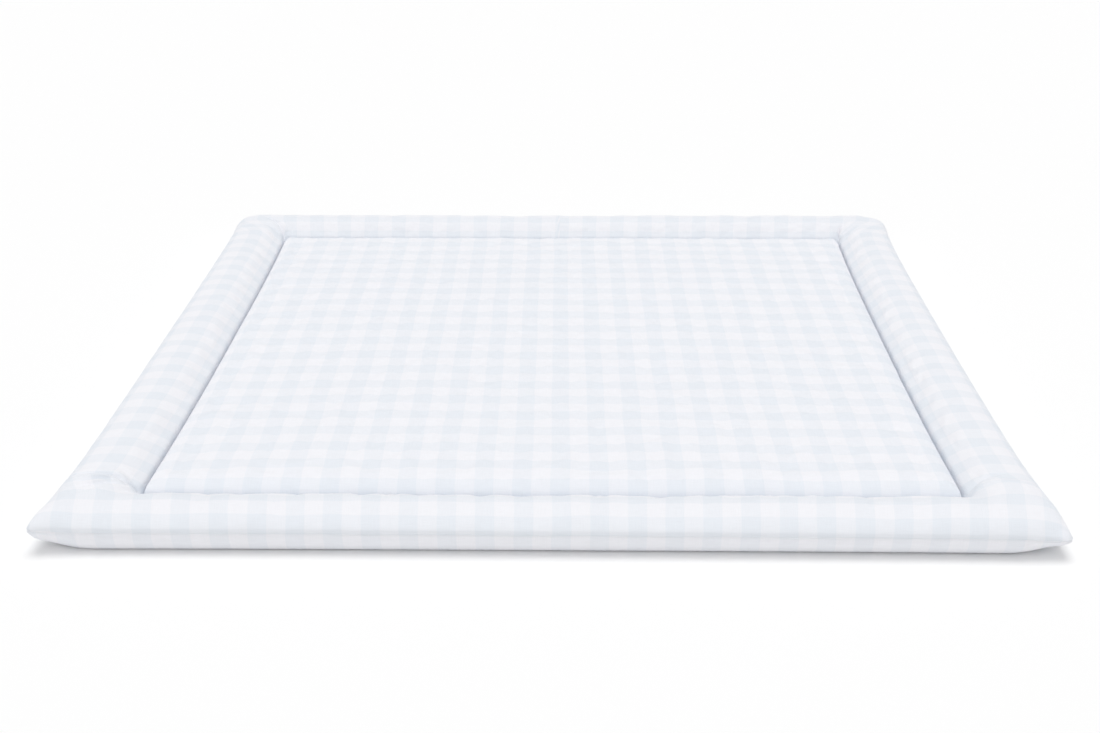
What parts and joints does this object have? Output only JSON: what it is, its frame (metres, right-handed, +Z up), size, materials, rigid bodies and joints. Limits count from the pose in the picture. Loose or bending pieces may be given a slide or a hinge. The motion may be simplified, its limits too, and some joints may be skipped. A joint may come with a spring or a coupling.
{
  "type": "padded baby play mat",
  "caption": "Rectangular padded floor mat of gingham cotton with a puffy border roll, divided from a low crowned centre by a sewn channel.",
  "frame": {"origin": "on the floor under the middle of the mat", "axes": "+X along the mat's width, +Y from its front edge to its back edge, +Z up"},
  "size_m": [0.996, 0.928, 0.0396],
  "materials": {
    "gingham_cotton": "matt plain-woven cotton in a pale blue and white gingham check"
  },
  "bodies": {
    "root": {"play_mat": "gingham_cotton"}
  },
  "joints": []
}
